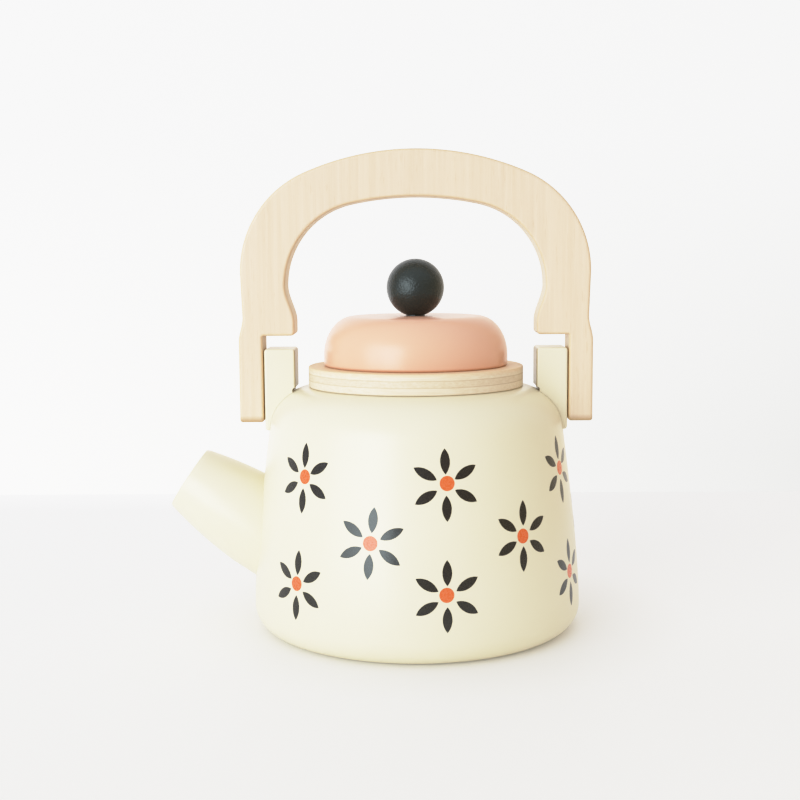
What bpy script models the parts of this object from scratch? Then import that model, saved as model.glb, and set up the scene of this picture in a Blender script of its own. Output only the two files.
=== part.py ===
"""Wooden toy kettle: a turned body with a collar ring, a lift-off lid, a spout and a swinging handle.

Units are metres and +Z is up. The origin is the centre of the flat base, on the body's axis.
The spout points along -X, and the handle swings about a line parallel to X through the two ears.
"""

import math

import bmesh
import bpy
from mathutils import Matrix, Vector

# Fits: pieces that touch, pieces that slide or turn, and how far a drill runs past a face
SEAT_GAP = 0.0003
RUNNING_GAP = 0.0004
OVERCUT = 0.0020

# Collar ring
MOUTH_RADIUS = 0.0250
COLLAR_THICKNESS = 0.0060
COLLAR_MARGIN = 0.0048
COLLAR_EDGE = 0.0005

# Lid, its plug and its knob
LID_LEDGE = 0.0035
LID_HEIGHT = 0.0150
LID_CROWN_WIDTH = 0.0092
LID_CROWN_HEIGHT = 0.0121
LID_BOTTOM_EDGE = 0.0010
PLUG_THICKNESS = 0.0058
PLUG_EDGE = 0.0005
KNOB_RADIUS = 0.0089
KNOB_FLAT_RADIUS = 0.0029
KNOB_DOWEL_RADIUS = 0.0020
KNOB_DOWEL_IN_BALL = 0.0070
KNOB_DOWEL_IN_PLUG = 0.0040

# Ears
EAR_STANDOFF = 0.0038
EAR_WIDTH = 0.0095
EAR_DEPTH = 0.0120
EAR_PROUD = 0.0010
EAR_RISE = 0.0119
EAR_DROP = 0.0134
EAR_EDGE = 0.0006
EAR_DOWEL_RADIUS = 0.0025
EAR_DOWEL_IN_BODY = 0.0090
EAR_DOWEL_WALL = 0.0010

# Body
BODY_HEIGHT = 0.0750
BODY_FLARE = 0.0054
BASE_EDGE_RADIUS = 0.0073
SHOULDER_EDGE_RADIUS = 0.0137
SIDE_LEAN = math.radians(7.7)
BASE_THICKNESS = 0.0120
WALL_THICKNESS = 0.0156

# Spout
SPOUT_ANGLE = math.radians(33.6)
SPOUT_LENGTH = 0.0267
SPOUT_ROOT_HEIGHT = 0.0315
SPOUT_MOUTH_RADIUS = 0.0103
SPOUT_ROOT_RADIUS = 0.0145
SPOUT_SWELL = 0.0007
SPOUT_EDGE = 0.0005
SPOUT_BORE_RADIUS = 0.0060
SPOUT_BORE_DEPTH = 0.0080
SPOUT_DOWEL_RADIUS = 0.0040
SPOUT_DOWEL_REACH = 0.0110

# Pivot
PIVOT_DROP = 0.0079
PIN_RADIUS = 0.0025
PIN_WALL = 0.0020
PIN_END_EDGE = 0.0003

# Handle
HANDLE_THICKNESS = 0.0120
HANDLE_EDGE = 0.0007
LEG_WIDTH = 0.0074
LEG_TAIL = 0.0148
NOTCH_GAP = 0.0040
GRIP_ROOM = 0.0188
GRIP_MIDDLE = 0.0270
GRIP_CROWN_RADIUS = 0.0940
ARCH_MIDDLE = 0.0312
ARCH_INSET = 0.0008
ARCH_SIDE_WIDTH = 0.0138
ARCH_TOP_WIDTH = 0.0143
ARCH_CROWN_RADIUS = 0.0850
WAIST_INSET = 0.0005
WAIST_RISE = 0.0056
FLARE_DROP = 0.0018
FOOT_REACH = 0.0027
FOOT_RISE = 0.0041
FOOT_EDGE = 0.0012

# Facets of the round pieces
BODY_SIDES = 64
LID_SIDES = 56
SPOUT_SIDES = 40
KNOB_SIDES = 32
DOWEL_SIDES = 20
ARC_STEPS = 7
CORNER_STEPS = 3

# Radii and distances from the body's axis, from the mouth outwards
LID_RADIUS = MOUTH_RADIUS + LID_LEDGE
COLLAR_RADIUS = LID_RADIUS + COLLAR_MARGIN
EAR_INNER = COLLAR_RADIUS + EAR_STANDOFF
EAR_OUTER = EAR_INNER + EAR_WIDTH
LEG_INNER = EAR_OUTER + RUNNING_GAP
LEG_OUTER = LEG_INNER + LEG_WIDTH
SHOULDER_RADIUS = EAR_OUTER - EAR_PROUD
CAVITY_RADIUS = SHOULDER_RADIUS - WALL_THICKNESS
BODY_RADIUS = SHOULDER_RADIUS + BODY_FLARE

# Heights, from the body's top upwards
COLLAR_BOTTOM = BODY_HEIGHT + SEAT_GAP
COLLAR_TOP = COLLAR_BOTTOM + COLLAR_THICKNESS
LID_BOTTOM = COLLAR_TOP + SEAT_GAP
LID_TOP = LID_BOTTOM + LID_HEIGHT
PLUG_TOP = LID_BOTTOM - SEAT_GAP
PLUG_BOTTOM = PLUG_TOP - PLUG_THICKNESS
KNOB_BOTTOM = LID_TOP + SEAT_GAP
KNOB_CENTRE = KNOB_BOTTOM + math.sqrt(KNOB_RADIUS ** 2 - KNOB_FLAT_RADIUS ** 2)
EAR_TOP = BODY_HEIGHT + EAR_RISE
EAR_BOTTOM = BODY_HEIGHT - EAR_DROP
PIVOT_HEIGHT = EAR_TOP - PIVOT_DROP

# Heights above the pivot
NOTCH_RISE = PIVOT_DROP + NOTCH_GAP
GRIP_RISE = KNOB_CENTRE + KNOB_RADIUS + GRIP_ROOM - PIVOT_HEIGHT
ARCH_RISE = GRIP_RISE + ARCH_TOP_WIDTH

# Centres of the body's rounded edges, as (radius, height)
SHOULDER_CENTRE = Vector((SHOULDER_RADIUS - SHOULDER_EDGE_RADIUS, BODY_HEIGHT - SHOULDER_EDGE_RADIUS))
BASE_CENTRE = Vector((BODY_RADIUS - BASE_EDGE_RADIUS, BASE_EDGE_RADIUS))

CREAM = (0.87, 0.83, 0.70, 1.0)
PEACH = (0.79, 0.50, 0.34, 1.0)
CHARCOAL = (0.055, 0.062, 0.056, 1.0)
PALE_WOOD = (0.79, 0.69, 0.55, 1.0)
PLYWOOD = (0.74, 0.61, 0.43, 1.0)
DOWEL_WOOD = (0.68, 0.50, 0.32, 1.0)


def clear_scene():
    """Start from an empty scene."""
    for item in list(bpy.data.objects):
        bpy.data.objects.remove(item, do_unlink=True)


def make_collection(name):
    collection = bpy.data.collections.new(name)
    bpy.context.scene.collection.children.link(collection)
    return collection


def make_material(name, colour, roughness):
    material = bpy.data.materials.new(name)
    material.use_nodes = True
    shader = material.node_tree.nodes["Principled BSDF"]
    shader.inputs["Base Color"].default_value = colour
    shader.inputs["Roughness"].default_value = roughness
    shader.inputs["Metallic"].default_value = 0.0
    return material


def make_empty(name, place, collection):
    """A pivot or seat that the moving pieces are parented to."""
    empty = bpy.data.objects.new(name, None)
    empty.location = place
    collection.objects.link(empty)
    return empty


def add_object(name, mesh, collection, material=None):
    item = bpy.data.objects.new(name, mesh)
    collection.objects.link(item)
    if material:
        mesh.materials.append(material)
    return item


def hang_on(item, parent):
    """Parent a piece without moving it."""
    bpy.context.view_layer.update()
    item.parent = parent
    item.matrix_parent_inverse = parent.matrix_world.inverted()


def arc(centre, radius, start, end, steps=ARC_STEPS):
    """Points on a circular arc, with angles in radians measured from the first axis."""
    points = []
    for step in range(steps + 1):
        angle = start + (end - start) * step / steps
        points.append(Vector((centre[0] + radius * math.cos(angle), centre[1] + radius * math.sin(angle))))
    return points


def bend(start, control, end, steps=ARC_STEPS):
    """Points on a parabola that leaves start and reaches end along the lines through control."""
    points = []
    for step in range(steps + 1):
        t = step / steps
        points.append(start * (1 - t) ** 2 + control * 2 * t * (1 - t) + end * t ** 2)
    return points


def ease(start, end, steps=ARC_STEPS):
    """Points on an S-curve that leaves start and reaches end along the second axis."""
    points = []
    for step in range(steps + 1):
        t = step / steps
        across = t * t * (3 - 2 * t)
        points.append(Vector((start.x + (end.x - start.x) * across, start.y + (end.y - start.y) * t)))
    return points


def without_repeats(points):
    """Drop points that fall on the one before."""
    kept = [points[0]]
    for point in points[1:]:
        if (point - kept[-1]).length > 1e-6:
            kept.append(point)
    return kept


def turned(name, profile, sides, collection, material=None, closed=False):
    """Spin a profile of (radius, height) points about the object's Z axis."""
    points = without_repeats(profile)
    mesh = bpy.data.meshes.new(name)
    corners = [(point.x, 0.0, point.y) for point in points]
    edges = [(index, index + 1) for index in range(len(points) - 1)]
    if closed:
        edges.append((len(points) - 1, 0))
    mesh.from_pydata(corners, edges, [])
    item = add_object(name, mesh, collection, material)
    screw = item.modifiers.new("Turn", "SCREW")
    screw.axis = "Z"
    screw.steps = sides
    screw.render_steps = sides
    screw.use_merge_vertices = True
    screw.merge_threshold = 1e-6
    screw.use_smooth_shade = True
    return item


def rod(name, radius, start, end, collection, material=None, sides=DOWEL_SIDES):
    """A straight dowel between two points."""
    start = Vector(start)
    end = Vector(end)
    axis = end - start
    shape = bmesh.new()
    bmesh.ops.create_cone(
        shape, cap_ends=True, segments=sides, radius1=radius, radius2=radius, depth=axis.length
    )
    mesh = bpy.data.meshes.new(name)
    shape.to_mesh(mesh)
    shape.free()
    mesh.shade_smooth()
    mesh.set_sharp_from_angle(angle=math.radians(40))
    item = add_object(name, mesh, collection, material)
    item.location = (start + end) / 2
    item.rotation_mode = "QUATERNION"
    item.rotation_quaternion = axis.to_track_quat("Z", "Y")
    return item


def as_cutter(item):
    item.hide_render = True
    item.display_type = "WIRE"
    return item


def cut(item, cutter):
    boolean = item.modifiers.new("Cut " + cutter.name, "BOOLEAN")
    boolean.operation = "DIFFERENCE"
    boolean.solver = "EXACT"
    boolean.object = cutter


def round_edges(item, width):
    bevel = item.modifiers.new("Rounded edges", "BEVEL")
    bevel.width = width
    bevel.segments = 2
    bevel.limit_method = "ANGLE"
    bevel.angle_limit = math.radians(40)


def body_outline(growth):
    """Outside of the body from the flat top down to the base, moved out by growth."""
    lean = Vector((math.cos(SIDE_LEAN), math.sin(SIDE_LEAN)))
    side_top = SHOULDER_CENTRE + lean * (SHOULDER_EDGE_RADIUS + growth)
    side_bottom = BASE_CENTRE + Vector((BASE_EDGE_RADIUS + growth, 0.0))
    run = (side_bottom.x - side_top.x) / math.tan(SIDE_LEAN)
    control = Vector((side_bottom.x, max(side_top.y - run, side_bottom.y)))
    points = arc(SHOULDER_CENTRE, SHOULDER_EDGE_RADIUS + growth, math.pi / 2, SIDE_LEAN)
    points += bend(side_top, control, side_bottom)
    points += arc(BASE_CENTRE, BASE_EDGE_RADIUS + growth, 0.0, -math.pi / 2)
    return points


def spout_axis():
    """Where the spout's axis leaves the body, and the way that it points."""
    root = Vector((-body_radius_at(SPOUT_ROOT_HEIGHT), 0.0, SPOUT_ROOT_HEIGHT))
    direction = Vector((-math.cos(SPOUT_ANGLE), 0.0, math.sin(SPOUT_ANGLE)))
    return root, direction


def body_radius_at(height):
    """Outside radius of the body, read between the points of its outline."""
    outline = body_outline(0.0)
    for upper, lower in zip(outline, outline[1:]):
        if upper.y >= height > lower.y:
            share = (upper.y - height) / (upper.y - lower.y)
            return upper.x + (lower.x - upper.x) * share
    return BODY_RADIUS


def shoulder_height_at(radius):
    """Height of the rounded shoulder at a distance from the body's axis."""
    across = max(radius - SHOULDER_CENTRE.x, 0.0)
    return SHOULDER_CENTRE.y + math.sqrt(SHOULDER_EDGE_RADIUS ** 2 - across ** 2)


def make_body(parts, material):
    """The pot, bored straight down through its top."""
    profile = [
        Vector((0.0, BASE_THICKNESS)),
        Vector((CAVITY_RADIUS, BASE_THICKNESS)),
        Vector((CAVITY_RADIUS, BODY_HEIGHT)),
    ]
    profile += body_outline(0.0)
    profile.append(Vector((0.0, 0.0)))
    return turned("body", profile, BODY_SIDES, parts, material)


def make_body_clearance(cutters):
    """The body's outside with the glue gap added, which shapes the pieces that sit on it."""
    outline = body_outline(SEAT_GAP)
    profile = [Vector((0.0, outline[0].y))] + outline + [Vector((0.0, outline[-1].y))]
    return as_cutter(turned("body_clearance", profile, BODY_SIDES, cutters))


def make_collar_ring(parts, material):
    edge = COLLAR_EDGE
    profile = [
        Vector((MOUTH_RADIUS, COLLAR_TOP - edge)),
        Vector((MOUTH_RADIUS + edge, COLLAR_TOP)),
        Vector((COLLAR_RADIUS - edge, COLLAR_TOP)),
        Vector((COLLAR_RADIUS, COLLAR_TOP - edge)),
        Vector((COLLAR_RADIUS, COLLAR_BOTTOM + edge)),
        Vector((COLLAR_RADIUS - edge, COLLAR_BOTTOM)),
        Vector((MOUTH_RADIUS, COLLAR_BOTTOM)),
    ]
    return turned("collar_ring", profile, BODY_SIDES, parts, material, closed=True)


def make_lid(parts, cutters, material):
    """The dome: a flat top, an elliptical crown and a small rounded bottom edge."""
    crown_height = min(LID_CROWN_HEIGHT, LID_HEIGHT - LID_BOTTOM_EDGE)
    crown_bottom = LID_TOP - crown_height
    flat_radius = LID_RADIUS - LID_CROWN_WIDTH
    profile = [Vector((0.0, LID_TOP))]
    for point in arc((0.0, 0.0), 1.0, math.pi / 2, 0.0, 2 * ARC_STEPS):
        across = flat_radius + LID_CROWN_WIDTH * point.x
        profile.append(Vector((across, crown_bottom + crown_height * point.y)))
    edge_centre = (LID_RADIUS - LID_BOTTOM_EDGE, LID_BOTTOM + LID_BOTTOM_EDGE)
    profile += arc(edge_centre, LID_BOTTOM_EDGE, 0.0, -math.pi / 2, CORNER_STEPS)
    profile.append(Vector((0.0, LID_BOTTOM)))
    lid = turned("lid", profile, LID_SIDES, parts, material)
    hole_radius = KNOB_DOWEL_RADIUS + SEAT_GAP
    hole_bottom = (0.0, 0.0, LID_BOTTOM - OVERCUT)
    hole_top = (0.0, 0.0, LID_TOP + OVERCUT)
    cut(lid, as_cutter(rod("lid_hole", hole_radius, hole_bottom, hole_top, cutters)))
    return lid


def make_lid_plug(parts, cutters, material):
    radius = MOUTH_RADIUS - RUNNING_GAP
    profile = [
        Vector((0.0, PLUG_TOP)),
        Vector((radius, PLUG_TOP)),
        Vector((radius, PLUG_BOTTOM + PLUG_EDGE)),
        Vector((radius - PLUG_EDGE, PLUG_BOTTOM)),
        Vector((0.0, PLUG_BOTTOM)),
    ]
    plug = turned("lid_plug", profile, LID_SIDES, parts, material)
    hole_bottom = (0.0, 0.0, PLUG_TOP - KNOB_DOWEL_IN_PLUG - SEAT_GAP)
    hole_top = (0.0, 0.0, PLUG_TOP + OVERCUT)
    cut(plug, as_cutter(rod("plug_hole", KNOB_DOWEL_RADIUS + SEAT_GAP, hole_bottom, hole_top, cutters)))
    return plug


def make_knob(parts, cutters, material):
    """The ball, with a small flat where it sits on the lid."""
    flat_angle = -math.acos(KNOB_FLAT_RADIUS / KNOB_RADIUS)
    profile = arc((0.0, KNOB_CENTRE), KNOB_RADIUS, math.pi / 2, flat_angle, 2 * ARC_STEPS)
    profile[0].x = 0.0
    profile.append(Vector((0.0, KNOB_BOTTOM)))
    knob = turned("lid_knob", profile, KNOB_SIDES, parts, material)
    hole_bottom = (0.0, 0.0, KNOB_BOTTOM - OVERCUT)
    hole_top = (0.0, 0.0, KNOB_BOTTOM + KNOB_DOWEL_IN_BALL + SEAT_GAP)
    cut(knob, as_cutter(rod("knob_hole", KNOB_DOWEL_RADIUS + SEAT_GAP, hole_bottom, hole_top, cutters)))
    return knob


def make_knob_dowel(parts, material):
    bottom = (0.0, 0.0, PLUG_TOP - KNOB_DOWEL_IN_PLUG)
    top = (0.0, 0.0, KNOB_BOTTOM + KNOB_DOWEL_IN_BALL)
    return rod("knob_dowel", KNOB_DOWEL_RADIUS, bottom, top, parts, material)


def make_spout(parts, cutters, body_clearance, material):
    """A tapered turning along the spout's own axis, cut to a saddle by the body."""
    root, direction = spout_axis()
    buried = 2 * SPOUT_ROOT_RADIUS
    tip = Vector((SPOUT_MOUTH_RADIUS, SPOUT_LENGTH))
    foot = Vector((SPOUT_ROOT_RADIUS, 0.0))
    middle = (tip + foot) / 2 + Vector((2 * SPOUT_SWELL, 0.0))
    side = bend(tip, middle, foot)
    corner = Vector((tip.x - SPOUT_EDGE, tip.y - SPOUT_EDGE))
    profile = [Vector((0.0, SPOUT_LENGTH))]
    profile += arc(corner, SPOUT_EDGE, math.pi / 2, 0.0, CORNER_STEPS)
    profile += [point for point in side if point.y < corner.y]
    profile.append(Vector((SPOUT_ROOT_RADIUS, -buried)))
    profile.append(Vector((0.0, -buried)))
    spout = turned("spout", profile, SPOUT_SIDES, parts, material)
    spout.location = root
    spout.rotation_mode = "QUATERNION"
    spout.rotation_quaternion = direction.to_track_quat("Z", "Y")
    cut(spout, body_clearance)
    mouth = root + direction * SPOUT_LENGTH
    bore_end = mouth - direction * SPOUT_BORE_DEPTH
    bore = rod("spout_bore", SPOUT_BORE_RADIUS, bore_end, mouth + direction * OVERCUT, cutters)
    cut(spout, as_cutter(bore))
    return spout


def make_spout_dowel(parts, cutters, body, spout, material):
    """A glue dowel, half in the spout and half in the body's wall."""
    root, direction = spout_axis()
    reach = direction * SPOUT_DOWEL_REACH
    spare = direction * SEAT_GAP
    hole_radius = SPOUT_DOWEL_RADIUS + SEAT_GAP
    hole = rod("spout_dowel_hole", hole_radius, root - reach - spare, root + reach + spare, cutters)
    as_cutter(hole)
    cut(spout, hole)
    cut(body, hole)
    return rod("spout_dowel", SPOUT_DOWEL_RADIUS, root - reach, root + reach, parts, material)


def make_ear(side, sign, parts, cutters, body, body_clearance, materials):
    """A post that sits on the shoulder, its glue dowel and the blind hole for the pivot pin."""
    shape = bmesh.new()
    bmesh.ops.create_cube(shape, size=1.0)
    size = Vector((EAR_WIDTH, EAR_DEPTH, EAR_TOP - EAR_BOTTOM))
    bmesh.ops.transform(shape, matrix=Matrix.Diagonal(size).to_4x4(), verts=shape.verts)
    mesh = bpy.data.meshes.new(side + "_ear")
    shape.to_mesh(mesh)
    shape.free()
    ear = add_object(side + "_ear", mesh, parts, materials["cream"])
    middle = sign * (EAR_INNER + EAR_OUTER) / 2
    ear.location = (middle, 0.0, (EAR_TOP + EAR_BOTTOM) / 2)
    round_edges(ear, EAR_EDGE)
    cut(ear, body_clearance)

    dowel_top = PIVOT_HEIGHT - PIN_RADIUS - RUNNING_GAP - EAR_DOWEL_WALL - SEAT_GAP
    dowel_bottom = shoulder_height_at(abs(middle)) - EAR_DOWEL_IN_BODY
    dowel_start = Vector((middle, 0.0, dowel_bottom))
    dowel_end = Vector((middle, 0.0, dowel_top))
    spare = Vector((0.0, 0.0, SEAT_GAP))
    hole_radius = EAR_DOWEL_RADIUS + SEAT_GAP
    hole = rod(side + "_ear_dowel_hole", hole_radius, dowel_start - spare, dowel_end + spare, cutters)
    as_cutter(hole)
    cut(ear, hole)
    cut(body, hole)
    rod(side + "_ear_dowel", EAR_DOWEL_RADIUS, dowel_start, dowel_end, parts, materials["dowel"])

    pin_hole_start = (sign * (EAR_INNER + PIN_WALL - RUNNING_GAP), 0.0, PIVOT_HEIGHT)
    pin_hole_end = (sign * (EAR_OUTER + OVERCUT), 0.0, PIVOT_HEIGHT)
    pin_hole = rod(side + "_ear_pin_hole", PIN_RADIUS + RUNNING_GAP, pin_hole_start, pin_hole_end, cutters)
    cut(ear, as_cutter(pin_hole))


def crowned_arch(half_width, middle, top, crown_radius):
    """Right half of an arch, from its top centre to its widest point: a crown arc, then a corner arc.

    The corner's radius makes it meet the crown smoothly and stand upright at the widest point.
    """
    rise = top - middle
    corner_radius = 2 * rise * crown_radius - half_width ** 2 - rise ** 2
    corner_radius /= 2 * (crown_radius - half_width)
    crown_centre = Vector((0.0, top - crown_radius))
    corner_centre = Vector((half_width - corner_radius, middle))
    between = corner_centre - crown_centre
    meeting = math.atan2(between.y, between.x)
    points = arc(crown_centre, crown_radius, math.pi / 2, meeting)
    points += arc(corner_centre, corner_radius, meeting, 0.0)
    return points


def handle_half_outline():
    """Right half of the handle from its top centre, round the leg, to the top of the grip opening.

    Points are across and above the pivot.
    """
    arch_outer = LEG_OUTER - ARCH_INSET
    grip_outer = arch_outer - ARCH_SIDE_WIDTH
    waist = Vector((arch_outer - WAIST_INSET, NOTCH_RISE + WAIST_RISE))
    foot = Vector((grip_outer - FOOT_REACH, NOTCH_RISE + FOOT_RISE))
    foot_corner = (foot.x + FOOT_EDGE, NOTCH_RISE + FOOT_EDGE)
    points = crowned_arch(arch_outer, ARCH_MIDDLE, ARCH_RISE, ARCH_CROWN_RADIUS)
    points += ease(waist, Vector((LEG_OUTER, NOTCH_RISE - FLARE_DROP)))
    points.append(Vector((LEG_OUTER, -LEG_TAIL)))
    points.append(Vector((LEG_INNER, -LEG_TAIL)))
    points.append(Vector((LEG_INNER, NOTCH_RISE)))
    points += arc(foot_corner, FOOT_EDGE, -math.pi / 2, -math.pi, CORNER_STEPS)
    points += ease(foot, Vector((grip_outer, GRIP_MIDDLE)))
    grip = crowned_arch(grip_outer, GRIP_MIDDLE, GRIP_RISE, GRIP_CROWN_RADIUS)
    points += reversed(grip)
    return without_repeats(points)


def make_handle(parts, cutters, material):
    """The arch, sawn from a flat board, with a hole for a pin through each leg."""
    half = handle_half_outline()
    mirrored = [Vector((-point.x, point.y)) for point in reversed(half[1:-1])]
    outline = half + mirrored
    curve = bpy.data.curves.new("handle_outline", "CURVE")
    curve.dimensions = "2D"
    curve.fill_mode = "BOTH"
    curve.extrude = HANDLE_THICKNESS / 2
    spline = curve.splines.new("POLY")
    spline.points.add(len(outline) - 1)
    for slot, point in zip(spline.points, outline):
        slot.co = (point.x, point.y, 0.0, 1.0)
    spline.use_cyclic_u = True
    board = bpy.data.objects.new("handle_board", curve)
    parts.objects.link(board)
    board.location = (0.0, 0.0, PIVOT_HEIGHT)
    board.rotation_euler = (math.pi / 2, 0.0, 0.0)
    bpy.context.view_layer.update()
    evaluated = board.evaluated_get(bpy.context.evaluated_depsgraph_get())
    mesh = bpy.data.meshes.new_from_object(evaluated)
    mesh.name = "handle"
    shape = bmesh.new()
    shape.from_mesh(mesh)
    bmesh.ops.remove_doubles(shape, verts=shape.verts, dist=1e-5)
    bmesh.ops.recalc_face_normals(shape, faces=shape.faces)
    shape.to_mesh(mesh)
    shape.free()
    mesh.materials.clear()
    handle = add_object("handle", mesh, parts, material)
    handle.matrix_world = board.matrix_world.copy()
    bpy.data.objects.remove(board, do_unlink=True)
    round_edges(handle, HANDLE_EDGE)
    for side, sign in (("left", -1.0), ("right", 1.0)):
        start = (sign * (LEG_INNER - OVERCUT), 0.0, PIVOT_HEIGHT)
        end = (sign * (LEG_OUTER + OVERCUT), 0.0, PIVOT_HEIGHT)
        cut(handle, as_cutter(rod(side + "_leg_hole", PIN_RADIUS + SEAT_GAP, start, end, cutters)))
    return handle


def make_pivot_pin(side, sign, parts, material):
    """A dowel glued in the handle's leg, flush outside, that turns in the ear."""
    start = (sign * (EAR_INNER + PIN_WALL), 0.0, PIVOT_HEIGHT)
    end = (sign * LEG_OUTER, 0.0, PIVOT_HEIGHT)
    pin = rod(side + "_pivot_pin", PIN_RADIUS, start, end, parts, material)
    round_edges(pin, PIN_END_EDGE)
    return pin


def build():
    clear_scene()
    parts = make_collection("wooden_toy_kettle")
    cutters = make_collection("cutters")
    materials = {
        "cream": make_material("cream_paint", CREAM, 0.45),
        "peach": make_material("peach_paint", PEACH, 0.40),
        "charcoal": make_material("charcoal_paint", CHARCOAL, 0.40),
        "board": make_material("pale_wood", PALE_WOOD, 0.55),
        "ply": make_material("plywood", PLYWOOD, 0.60),
        "dowel": make_material("dowel_wood", DOWEL_WOOD, 0.60),
    }
    body = make_body(parts, materials["cream"])
    body_clearance = make_body_clearance(cutters)
    make_collar_ring(parts, materials["ply"])
    spout = make_spout(parts, cutters, body_clearance, materials["cream"])
    make_spout_dowel(parts, cutters, body, spout, materials["dowel"])

    lid_seat = make_empty("lid_seat", (0.0, 0.0, LID_BOTTOM), parts)
    hang_on(make_lid(parts, cutters, materials["peach"]), lid_seat)
    hang_on(make_lid_plug(parts, cutters, materials["ply"]), lid_seat)
    hang_on(make_knob(parts, cutters, materials["charcoal"]), lid_seat)
    hang_on(make_knob_dowel(parts, materials["dowel"]), lid_seat)

    handle_pivot = make_empty("handle_pivot", (0.0, 0.0, PIVOT_HEIGHT), parts)
    hang_on(make_handle(parts, cutters, materials["board"]), handle_pivot)
    for side, sign in (("left", -1.0), ("right", 1.0)):
        make_ear(side, sign, parts, cutters, body, body_clearance, materials)
        hang_on(make_pivot_pin(side, sign, parts, materials["dowel"]), handle_pivot)


build()
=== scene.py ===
import math

import bmesh
import bpy
from mathutils import Euler, Matrix, Vector
from mathutils.geometry import delaunay_2d_cdt, intersect_line_line_2d


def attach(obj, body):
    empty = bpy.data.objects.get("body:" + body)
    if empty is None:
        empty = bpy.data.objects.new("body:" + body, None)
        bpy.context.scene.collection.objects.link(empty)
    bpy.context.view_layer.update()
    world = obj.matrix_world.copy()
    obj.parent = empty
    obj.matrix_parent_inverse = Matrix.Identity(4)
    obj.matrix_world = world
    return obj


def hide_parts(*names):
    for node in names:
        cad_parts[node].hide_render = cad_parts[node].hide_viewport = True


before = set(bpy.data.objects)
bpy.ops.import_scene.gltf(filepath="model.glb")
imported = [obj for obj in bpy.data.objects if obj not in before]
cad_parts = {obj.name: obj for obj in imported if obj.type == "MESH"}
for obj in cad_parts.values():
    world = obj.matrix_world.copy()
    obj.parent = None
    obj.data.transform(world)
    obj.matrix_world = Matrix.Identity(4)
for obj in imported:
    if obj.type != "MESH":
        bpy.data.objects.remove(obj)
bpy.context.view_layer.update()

# Sizes in metres, the same as in the CAD part. +Z is up and the spout points along -X
SEAT_GAP = 0.0003
MOUTH_RADIUS = 0.0250
COLLAR_RADIUS = 0.0333
COLLAR_BOTTOM = 0.0753
COLLAR_TOP = 0.0813
LID_RADIUS = 0.0285
LID_BOTTOM = 0.0816
LID_TOP = 0.0966
LID_CROWN_WIDTH = 0.0092
LID_CROWN_HEIGHT = 0.0121
PLUG_RADIUS = 0.0246
PLUG_BOTTOM = 0.0755
KNOB_RADIUS = 0.0089
KNOB_FLAT_RADIUS = 0.0029
EAR_INNER = 0.0371
EAR_OUTER = 0.0466
EAR_DEPTH = 0.0120
EAR_BOTTOM = 0.0616
EAR_TOP = 0.0869
BODY_HEIGHT = 0.0750
BODY_RADIUS = 0.0510
SHOULDER_RADIUS = 0.0456
SHOULDER_EDGE_RADIUS = 0.0137
BASE_EDGE_RADIUS = 0.0073
SIDE_LEAN = math.radians(7.7)
CAVITY_RADIUS = 0.0300
CAVITY_BOTTOM = 0.0120
SPOUT_ANGLE = math.radians(33.6)
SPOUT_LENGTH = 0.0267
SPOUT_ROOT_HEIGHT = 0.0315
SPOUT_MOUTH_RADIUS = 0.0103
SPOUT_ROOT_RADIUS = 0.0145
SPOUT_SWELL = 0.0007
SPOUT_BORE_RADIUS = 0.0060
SPOUT_BORE_DEPTH = 0.0080
PIVOT_HEIGHT = 0.0790
PIN_RADIUS = 0.0025
PIN_INNER = 0.0391
LEG_INNER = 0.0470
LEG_OUTER = 0.0544
HANDLE_THICKNESS = 0.0120
LEG_TAIL = 0.0148
NOTCH_RISE = 0.0119
GRIP_RISE = 0.0540
GRIP_MIDDLE = 0.0270
GRIP_CROWN_RADIUS = 0.0940
ARCH_RISE = 0.0683
ARCH_MIDDLE = 0.0312
ARCH_INSET = 0.0008
ARCH_SIDE_WIDTH = 0.0138
ARCH_CROWN_RADIUS = 0.0850
WAIST_INSET = 0.0005
WAIST_RISE = 0.0056
FLARE_DROP = 0.0018
FOOT_REACH = 0.0027
FOOT_RISE = 0.0041
FOOT_EDGE = 0.0012

# Softened edges, finer than in the CAD part
COLLAR_EDGE = 0.0004
LID_EDGE = 0.0010
PLUG_EDGE = 0.0005
CAVITY_EDGE = 0.0006
EAR_EDGE = 0.0007
EAR_CORNER = 0.0010
HANDLE_EDGE = 0.0009
LEG_CORNER = 0.0008
NOTCH_CORNER = 0.0004
SPOUT_EDGE = 0.0005
PIN_EDGE = 0.0003
EDGE_SUPPORT = 0.0001

# Fits: the pins in the legs and in the ears, and the ears and the spout on the body
PIN_FIT = 0.0001
PIN_PLAY = 0.0004
JOINT_LINE = 0.00002
EAR_LIFT = 0.00005
EAR_RELIEF = 0.0010
SPOUT_SINK = 0.0002

# Printed flowers. Each row lists the azimuth, in degrees from the front towards +X, and the height of
# the flowers in the photograph; the rest follow at an even pitch. A flower is turned by an angle, and
# its petals are printed a little off its dot
FLOWER_PITCH = 54.2
FLOWER_ROWS = (
    {
        "seen": ((-43.1, 0.0521), (10.5, 0.0521), (65.7, 0.0519)),
        "count": 6, "turn": 0.7, "shift": (-0.00035, -0.00043),
    },
    {
        "seen": ((-15.4, 0.0354), (38.3, 0.0354)),
        "count": 5, "turn": -4.4, "shift": (0.00016, 0.0),
    },
    {
        "seen": ((-43.7, 0.0212), (9.5, 0.0212), (65.8, 0.0207)),
        "count": 6, "turn": -0.6, "shift": (0.00017, -0.00041),
    },
)
PETALS = 6
PETAL_MIDDLE = 0.00658
PETAL_LENGTH = 0.0073
PETAL_WIDTH = 0.00278
DOT_RADIUS = 0.00212
INK_PROUD = 0.00003
INK_DEPTH = 0.00015
INK_INNER_SHARE = 0.5

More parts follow.
